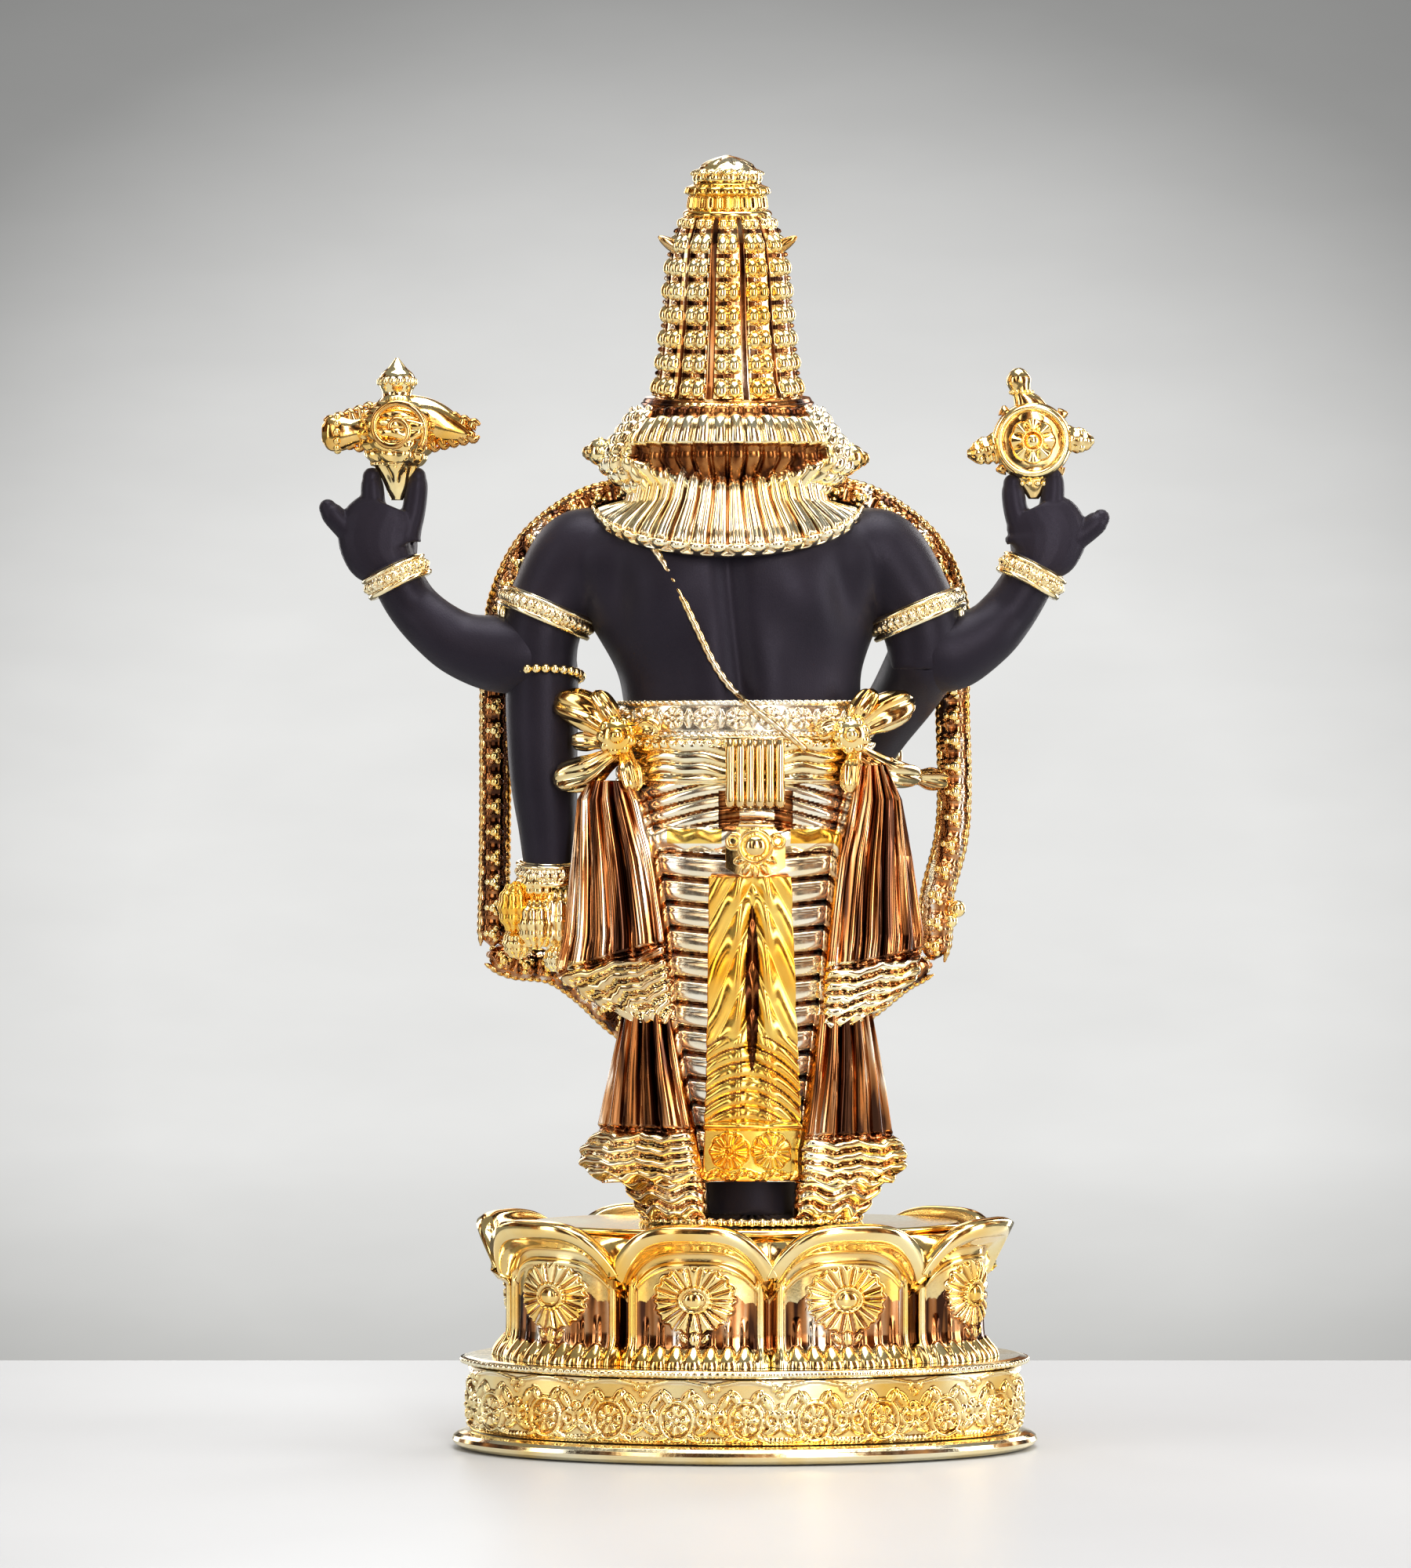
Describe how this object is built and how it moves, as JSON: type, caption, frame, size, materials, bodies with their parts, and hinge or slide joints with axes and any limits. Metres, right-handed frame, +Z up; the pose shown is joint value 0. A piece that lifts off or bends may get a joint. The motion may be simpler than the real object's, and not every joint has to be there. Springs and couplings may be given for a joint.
{
  "type": "hindu deity statue",
  "caption": "Standing shrine figure in matte black with gold-plated crown, drapery and garland, raised hands holding a conch and a discus, on an oval lotus pedestal.",
  "frame": {"origin": "middle of the felt pad's underside, on the surface the statue stands on", "axes": "+Z up, +X towards the figure's left, -Y the way the figure faces"},
  "size_m": [0.1826, 0.072, 0.2994],
  "materials": {
    "gold_plating": "bright mirror gold plating over cast relief",
    "amber_plating": "warm amber-gold plating, polished",
    "black_paint": "matte black paint with a faint purple cast and fine grain",
    "felt": "short-pile felt",
    "steel": "zinc-plated fastener steel",
    "board": "raw fibreboard"
  },
  "bodies": {
    "root": {"felt_pad": "felt", "base_plate": "gold_plating", "plinth_core": "board", "plinth_band": "gold_plating", "plinth_rim": "gold_plating", "lotus_pedestal": "gold_plating", "lotus_seat": "gold_plating", "foot_plate": "gold_plating", "legs": "black_paint", "torso": "black_paint", "head": "black_paint", "left_raised_forearm": "black_paint", "right_raised_forearm": "black_paint", "left_lowered_forearm": "black_paint", "right_lowered_forearm": "black_paint", "left_raised_hand": "black_paint", "right_raised_hand": "black_paint", "left_lowered_hand": "black_paint", "right_lowered_hand": "black_paint", "conch": "gold_plating", "discus": "gold_plating", "crown_band": "gold_plating", "crown": "gold_plating", "crown_finial": "gold_plating", "hair_roll": "gold_plating", "hair_cape": "gold_plating", "left_ear_ornament": "gold_plating", "right_ear_ornament": "gold_plating", "left_armlet": "gold_plating", "right_armlet": "gold_plating", "left_raised_bracelet": "gold_plating", "right_raised_bracelet": "gold_plating", "left_lowered_bracelet": "gold_plating", "right_lowered_bracelet": "gold_plating", "collar": "gold_plating", "chest_pendant": "gold_plating", "sacred_thread": "gold_plating", "waist_belt": "gold_plating", "hip_belt": "gold_plating", "belt_tassel": "gold_plating", "clasp": "gold_plating", "back_panel": "amber_plating", "dhoti": "gold_plating", "left_bow": "gold_plating", "right_bow": "gold_plating", "left_sash": "gold_plating", "right_sash": "gold_plating", "left_lower_sash": "gold_plating", "right_lower_sash": "gold_plating", "left_hem_fold": "gold_plating", "right_hem_fold": "gold_plating", "garland_left": "gold_plating", "garland_right": "gold_plating", "garland_front": "gold_plating", "centre_rod": "steel", "rod_nut": "steel", "waist_dowel": "steel", "neck_dowel": "steel", "base_screw_left": "steel", "base_screw_right": "steel"}
  },
  "joints": []
}
